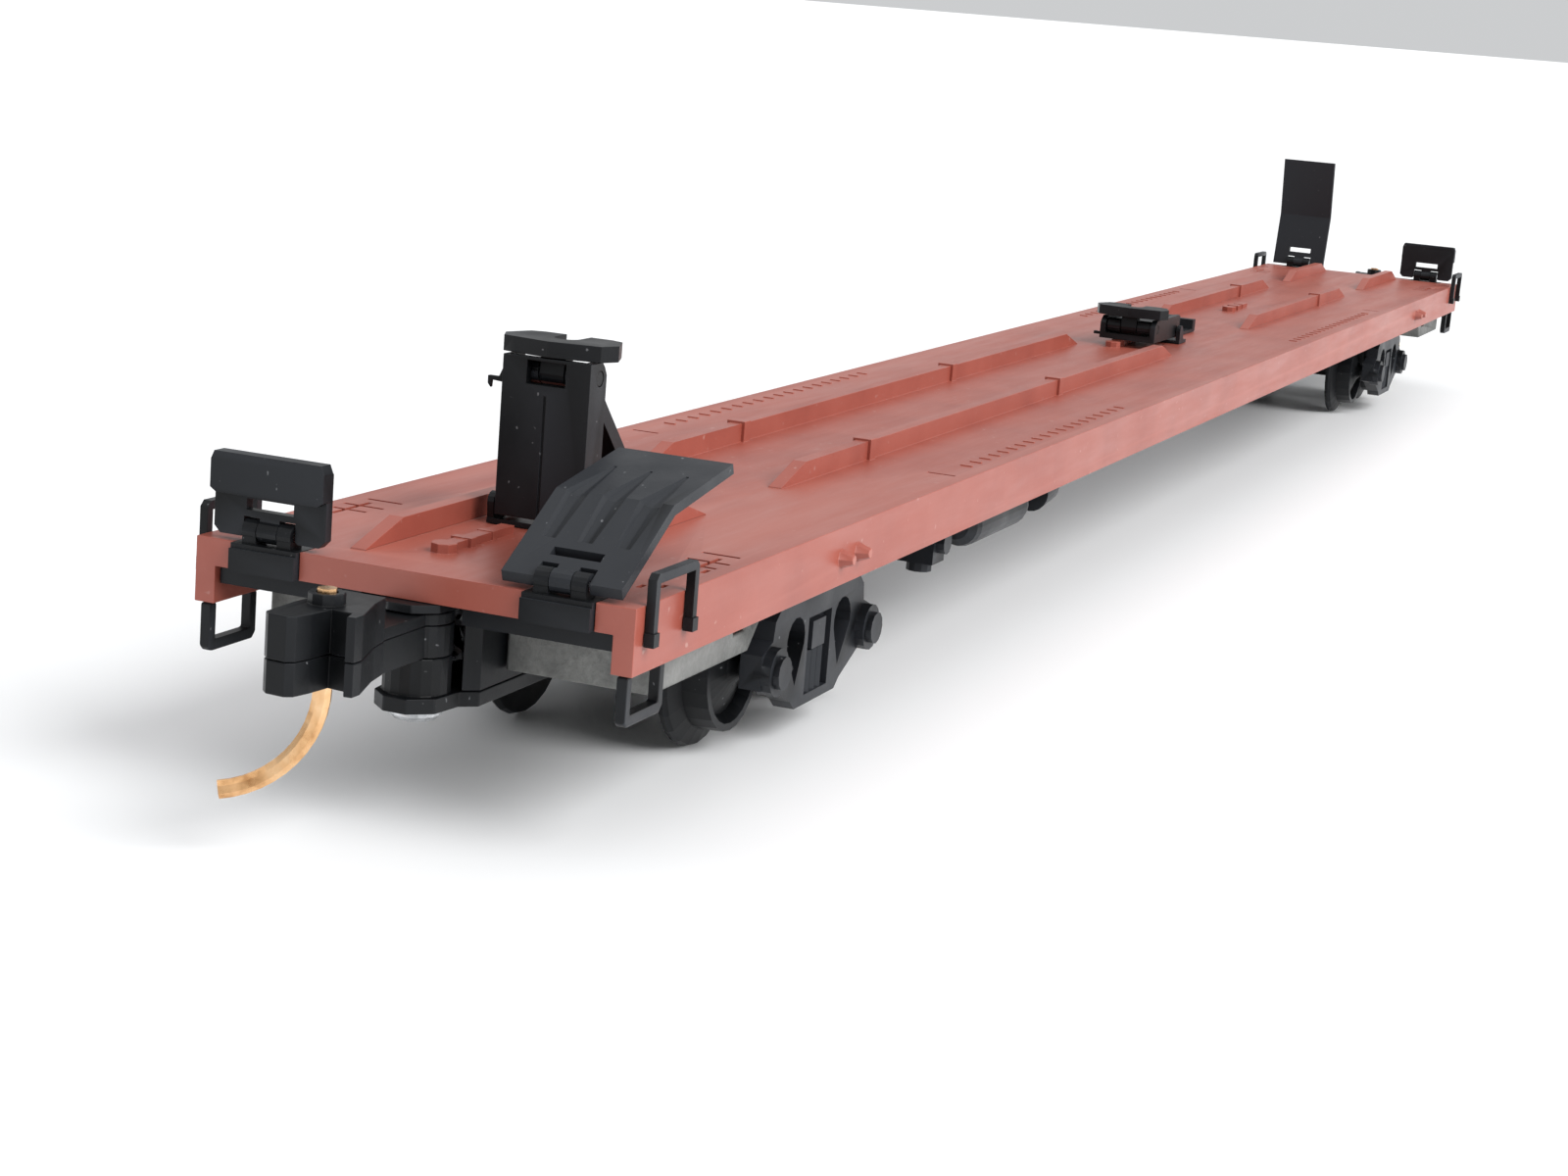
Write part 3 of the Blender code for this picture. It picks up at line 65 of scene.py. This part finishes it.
def addCamera(settings):
    yaw = math.radians(settings["yaw"])
    pitch = math.radians(settings["pitch"])
    roll = math.radians(settings["roll"])
    level = math.cos(pitch)
    ahead = Vector((level * math.cos(yaw), level * math.sin(yaw), math.sin(pitch)))
    right = ahead.cross(Vector((0, 0, 1))).normalized()
    up = right.cross(ahead)
    across = right * math.cos(roll) + up * math.sin(roll)
    upward = up * math.cos(roll) - right * math.sin(roll)
    data = bpy.data.cameras.new("camera")
    data.lens = settings["lens"]
    data.sensor_width = settings["sensor"]
    data.clip_start, data.clip_end = settings["clip"]
    camera = bpy.data.objects.new("camera", data)
    bpy.context.scene.collection.objects.link(camera)
    turn = Matrix((across, upward, -ahead)).transposed().to_4x4()
    camera.matrix_world = Matrix.Translation(Vector(settings["place"]) * mm) @ turn
    bpy.context.scene.camera = camera


addCamera(cameraSettings)
print("camera placed")


# node helpers

def newMaterial(name):
    material = bpy.data.materials.new(name)
    material.use_nodes = True
    return material, material.node_tree, material.node_tree.nodes["Principled BSDF"]


def addNode(tree, kind, **values):
    node = tree.nodes.new(kind)
    for key, value in values.items():
        setattr(node, key, value)
    return node


def speckle(tree, scale, detail, roughness=0.55, stretch=(1, 1, 1)):
    where = addNode(tree, "ShaderNodeTexCoord")
    turn = addNode(tree, "ShaderNodeMapping")
    turn.inputs["Scale"].default_value = stretch
    noise = addNode(tree, "ShaderNodeTexNoise")
    noise.inputs["Scale"].default_value = scale
    noise.inputs["Detail"].default_value = detail
    noise.inputs["Roughness"].default_value = roughness
    tree.links.new(where.outputs["Object"], turn.inputs["Vector"])
    tree.links.new(turn.outputs["Vector"], noise.inputs["Vector"])
    return noise.outputs["Fac"]


def ramp(tree, source, stops):
    node = addNode(tree, "ShaderNodeValToRGB")
    while len(node.color_ramp.elements) < len(stops):
        node.color_ramp.elements.new(0.5)
    for element, (place, colour) in zip(node.color_ramp.elements, stops):
        element.position = place
        element.color = (*colour, 1)
    tree.links.new(source, node.inputs["Fac"])
    return node.outputs["Color"]


def between(tree, source, sourceRange, resultRange):
    node = addNode(tree, "ShaderNodeMapRange")
    node.inputs["From Min"].default_value, node.inputs["From Max"].default_value = sourceRange
    node.inputs["To Min"].default_value, node.inputs["To Max"].default_value = resultRange
    tree.links.new(source, node.inputs["Value"])
    return node.outputs["Result"]


def pickSocket(sockets, name, kind):
    return [socket for socket in sockets if socket.name == name and socket.type == kind][0]


def tint(tree, colour, source, layer):
    node = addNode(tree, "ShaderNodeMix", data_type="RGBA")
    tree.links.new(colour, pickSocket(node.inputs, "A", "RGBA"))
    pickSocket(node.inputs, "B", "RGBA").default_value = (*layer["colour"], 1)
    amount = between(tree, source, layer["range"], (0.0, layer["most"]))
    tree.links.new(amount, pickSocket(node.inputs, "Factor", "VALUE"))
    return pickSocket(node.outputs, "Result", "RGBA")


def bump(tree, layers):
    normal = None
    for source, (strength, height) in layers:
        node = addNode(tree, "ShaderNodeBump")
        node.inputs["Strength"].default_value = strength
        node.inputs["Distance"].default_value = height * mm
        tree.links.new(source, node.inputs["Height"])
        if normal is not None:
            tree.links.new(normal, node.inputs["Normal"])
        normal = node.outputs["Normal"]
    return normal


def pointiness(tree):
    return addNode(tree, "ShaderNodeNewGeometry").outputs["Pointiness"]


# materials: a tint is (up to "most") where its source passes the range, a bump is (strength, mm)

brownPlasticLook = {
    "cloud": {"scale": 260, "detail": 5},
    "grain": {"scale": 5200, "detail": 3},
    "streak": {"scale": 900, "detail": 4, "roughness": 0.6, "stretch": (0.12, 1, 1)},  # along X
    "dots": {"scale": 2600, "detail": 1},
    "tones": (
        (0.15, (0.235, 0.050, 0.034)),
        (0.5, (0.29, 0.068, 0.046)),
        (0.85, (0.335, 0.088, 0.062)),
    ),
    "dustTint": {"colour": (0.52, 0.36, 0.32), "range": (0.72, 0.80), "most": 0.35},
    "streakTint": {"colour": (0.36, 0.105, 0.076), "range": (0.62, 0.86), "most": 0.25},
    # lighter edges: partly edge wear, partly a painted highlight where light catches the rounded
    # edges
    "edgeWearAndHighlightTint": {"colour": (0.36, 0.105, 0.076), "range": (0.53, 0.66), "most": 1.0},
    "roughness": ((0.3, 0.75), (0.34, 0.5)),
    "grainBump": (0.12, 0.02),
    "streakBump": (0.08, 0.03),
    "coat": 0.10,
    "coatRoughness": 0.3,
}


def makeBrownPlastic(look):
    material, tree, shader = newMaterial("brownPlastic")
    cloud, grain = speckle(tree, **look["cloud"]), speckle(tree, **look["grain"])
    streak, dots = speckle(tree, **look["streak"]), speckle(tree, **look["dots"])
    colour = ramp(tree, cloud, look["tones"])
    colour = tint(tree, colour, dots, look["dustTint"])
    colour = tint(tree, colour, streak, look["streakTint"])
    # edges lightened by pointiness: partly edge wear, partly a painted highlight on the rounded
    # edges
    colour = tint(tree, colour, pointiness(tree), look["edgeWearAndHighlightTint"])
    normal = bump(tree, ((grain, look["grainBump"]), (streak, look["streakBump"])))
    tree.links.new(colour, shader.inputs["Base Color"])
    tree.links.new(between(tree, streak, *look["roughness"]), shader.inputs["Roughness"])
    tree.links.new(normal, shader.inputs["Normal"])
    shader.inputs["Coat Weight"].default_value = look["coat"]
    shader.inputs["Coat Roughness"].default_value = look["coatRoughness"]
    return material


blackPlasticLook = {
    "cloud": {"scale": 420, "detail": 5},
    "grain": {"scale": 6400, "detail": 3},
    "dots": {"scale": 5200, "detail": 0},
    "tones": ((0.35, (0.0028, 0.0032, 0.0038)), (0.68, (0.0066, 0.0074, 0.0086))),
    # lighter edges: partly edge wear, partly a painted highlight where light catches the rounded
    # edges
    "edgeWearAndHighlightTint": {"colour": (0.020, 0.022, 0.026), "range": (0.52, 0.68), "most": 1.0},
    "lintTint": {"colour": (0.22, 0.225, 0.235), "range": (0.83, 0.88), "most": 0.5},
    "roughness": ((0.3, 0.7), (0.32, 0.5)),
    "grainBump": (0.2, 0.015),
    "cloudBump": (0.15, 0.04),
    "specular": 0.2,
}


def makeBlackPlastic(look):
    material, tree, shader = newMaterial("blackPlastic")
    cloud, grain = speckle(tree, **look["cloud"]), speckle(tree, **look["grain"])
    dots = speckle(tree, **look["dots"])
    colour = ramp(tree, cloud, look["tones"])
    # edges lightened by pointiness: partly edge wear, partly a painted highlight on the rounded
    # edges
    colour = tint(tree, colour, pointiness(tree), look["edgeWearAndHighlightTint"])
    colour = tint(tree, colour, dots, look["lintTint"])
    normal = bump(tree, ((grain, look["grainBump"]), (cloud, look["cloudBump"])))
    tree.links.new(colour, shader.inputs["Base Color"])
    tree.links.new(between(tree, cloud, *look["roughness"]), shader.inputs["Roughness"])
    tree.links.new(normal, shader.inputs["Normal"])
    shader.inputs["Specular IOR Level"].default_value = look["specular"]
    return material


castMetalLook = {
    "cloud": {"scale": 700, "detail": 6, "roughness": 0.65},
    "pits": {"scale": 4200, "detail": 4, "roughness": 0.7},
    "tones": ((0.32, (0.055, 0.058, 0.055)), (0.7, (0.17, 0.175, 0.165))),
    # lighter edges: partly edge wear, partly a painted highlight where light catches the rounded
    # edges
    "edgeWearAndHighlightTint": {"colour": (0.4, 0.4, 0.39), "range": (0.53, 0.68), "most": 1.0},
    "roughness": ((0.3, 0.7), (0.45, 0.75)),
    "pitBump": (0.5, 0.05),
    "cloudBump": (0.3, 0.08),
    "metallic": 0.75,
}


def makeCastMetal(look):
    material, tree, shader = newMaterial("castMetal")
    cloud, pits = speckle(tree, **look["cloud"]), speckle(tree, **look["pits"])
    colour = ramp(tree, cloud, look["tones"])
    # edges lightened by pointiness: partly edge wear, partly a painted highlight on the rounded
    # edges
    colour = tint(tree, colour, pointiness(tree), look["edgeWearAndHighlightTint"])
    normal = bump(tree, ((pits, look["pitBump"]), (cloud, look["cloudBump"])))
    tree.links.new(colour, shader.inputs["Base Color"])
    tree.links.new(between(tree, pits, *look["roughness"]), shader.inputs["Roughness"])
    tree.links.new(normal, shader.inputs["Normal"])
    shader.inputs["Metallic"].default_value = look["metallic"]
    return material


bronzeWireLook = {
    "cloud": {"scale": 900, "detail": 5},
    "worked": {"scale": 3200, "detail": 4, "roughness": 0.6, "stretch": (1, 1, 0.15)},  # drawn wire
    "tones": (
        (0.28, (0.42, 0.20, 0.075)),
        (0.46, (0.76, 0.45, 0.22)),
        (0.74, (0.94, 0.66, 0.40)),
    ),
    "roughness": ((0.3, 0.7), (0.2, 0.4)),
    "workedBump": (0.25, 0.02),
}

brightSteelLook = {
    "cloud": {"scale": 1500, "detail": 5},
    "worked": {"scale": 5000, "detail": 3},  # turned on a lathe
    "tones": ((0.3, (0.30, 0.31, 0.32)), (0.66, (0.66, 0.67, 0.69))),
    "roughness": ((0.3, 0.7), (0.22, 0.42)),
    "workedBump": (0.2, 0.02),
}


def makeBareMetal(name, look):
    material, tree, shader = newMaterial(name)
    cloud, worked = speckle(tree, **look["cloud"]), speckle(tree, **look["worked"])
    tree.links.new(ramp(tree, cloud, look["tones"]), shader.inputs["Base Color"])
    tree.links.new(between(tree, worked, *look["roughness"]), shader.inputs["Roughness"])
    tree.links.new(bump(tree, ((worked, look["workedBump"]),)), shader.inputs["Normal"])
    shader.inputs["Metallic"].default_value = 1.0
    return material


finishes = {
    "brown_plastic": makeBrownPlastic(brownPlasticLook),
    "black_plastic": makeBlackPlastic(blackPlasticLook),
    "cast_metal": makeCastMetal(castMetalLook),
    "bronze": makeBareMetal("bronzeWire", bronzeWireLook),
    "steel": makeBareMetal("brightSteel", brightSteelLook),
}
print("materials made:", len(finishes))


# frame nodes: finish and softened edges

edgeSettings = {
    "weld": 0.001,  # mm
    "segments": 2,
    "angle": 38,
}

edgeWidths = {  # mm, by the start of a node's name
    "deck": 0.055,
    "weight": 0.12,
    "hitch": 0.05,
    "bridge": 0.055,
    "coupler": 0.07,
    "truck": 0.06,
    "grab": 0.1,
    "step": 0.09,
    "hinge_block": 0.05,
    "underframe": 0.06,
}


def softenEdges(node, width):
    weld = node.modifiers.new("weld", "WELD")
    weld.merge_threshold = edgeSettings["weld"] * mm
    edge = node.modifiers.new("edge", "BEVEL")
    edge.width = width * mm
    edge.segments = edgeSettings["segments"]
    edge.limit_method = "ANGLE"
    edge.angle_limit = math.radians(edgeSettings["angle"])
    edge.harden_normals = True


def finishNodes():
    slots = {row["node"]: row["material_slot"] for row in frame["record"]["subparts"]}
    for name, node in nodes.items():
        node.data.materials.clear()
        node.data.materials.append(finishes[slots[name]])
        for start, width in edgeWidths.items():
            if name.startswith(start):
                softenEdges(node, width)
                break


finishNodes()
print("frame nodes finished")


# deck marks

markSettings = {
    "size": (0.16, 0.55, 0.05),  # mm
    "pitch": 1.35,
    "first": 37.5,  # from the deck's end
    "count": 20,
    "fromMiddle": 7.4,
    "sunk": 0.02,
}


def addBar(bm, low, high):
    low, high = Vector(low), Vector(high)
    made = bmesh.ops.create_cube(bm, size=1)["verts"]
    bmesh.ops.scale(bm, vec=high - low, verts=made)
    bmesh.ops.translate(bm, vec=(low + high) / 2, verts=made)


def pieceFrom(bm, name, material, body):
    bmesh.ops.recalc_face_normals(bm, faces=bm.faces)
    mesh = bpy.data.meshes.new(name)
    bm.to_mesh(mesh)
    bm.free()
    mesh.materials.append(material)
    piece = bpy.data.objects.new(name, mesh)
    bpy.context.scene.collection.objects.link(piece)
    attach(piece, body)
    return piece


def addDeckMarks(settings):
    bm = bmesh.new()
    half = Vector(settings["size"]) * mm / 2
    low = deckTop - settings["sunk"] * mm
    high = deckTop + settings["size"][2] * mm
    side = settings["fromMiddle"] * mm
    for end in (-1, 1):
        for y in (-side, side):
            for i in range(settings["count"]):
                x = end * (endLength - (settings["first"] + settings["pitch"] * i) * mm)
                addBar(bm, (x - half.x, y - half.y, low), (x + half.x, y + half.y, high))
    pieceFrom(bm, "deckMarks", finishes["brown_plastic"], "car")


addDeckMarks(markSettings)
print("deck marks added")


# floor and light

floorSettings = {
    "size": 60.0,
    "colour": (0.86, 0.865, 0.87),
    "roughness": 0.45,
    "specular": 0.35,
}


def addFloor(settings):
    bm = bmesh.new()
    bmesh.ops.create_grid(bm, x_segments=1, y_segments=1, size=settings["size"] / 2)
    mesh = bpy.data.meshes.new("floor")
    bm.to_mesh(mesh)
    bm.free()
    floor = bpy.data.objects.new("floor", mesh)
    bpy.context.scene.collection.objects.link(floor)
    material, _, shader = newMaterial("paleFloor")
    shader.inputs["Base Color"].default_value = (*settings["colour"], 1)
    shader.inputs["Roughness"].default_value = settings["roughness"]
    shader.inputs["Specular IOR Level"].default_value = settings["specular"]
    mesh.materials.append(material)


lightSettings = {
    "room": {"colour": (0.97, 0.985, 1), "strength": 0.62},
    "side": {"toward": (0.10, 0.80, -0.60), "angle": 45, "power": 3.6},
    "above": {"toward": (0.15, -0.15, -1.0), "angle": 70, "power": 0.6},
}


def addLight(name, settings):
    data = bpy.data.lights.new(name, "SUN")
    data.angle = math.radians(settings["angle"])
    data.energy = settings["power"]
    light = bpy.data.objects.new(name, data)
    bpy.context.scene.collection.objects.link(light)
    light.rotation_euler = Vector(settings["toward"]).to_track_quat("-Z", "Y").to_euler()


def addWorld(settings):
    world = bpy.data.worlds.new("softRoom")
    world.use_nodes = True
    background = world.node_tree.nodes["Background"]
    background.inputs["Color"].default_value = (*settings["colour"], 1)
    background.inputs["Strength"].default_value = settings["strength"]
    bpy.context.scene.world = world


addFloor(floorSettings)
addWorld(lightSettings["room"])
for lightName in ("side", "above"):
    addLight(lightName, lightSettings[lightName])
bpy.context.scene.view_settings.view_transform = "Standard"
print("floor and lights set")
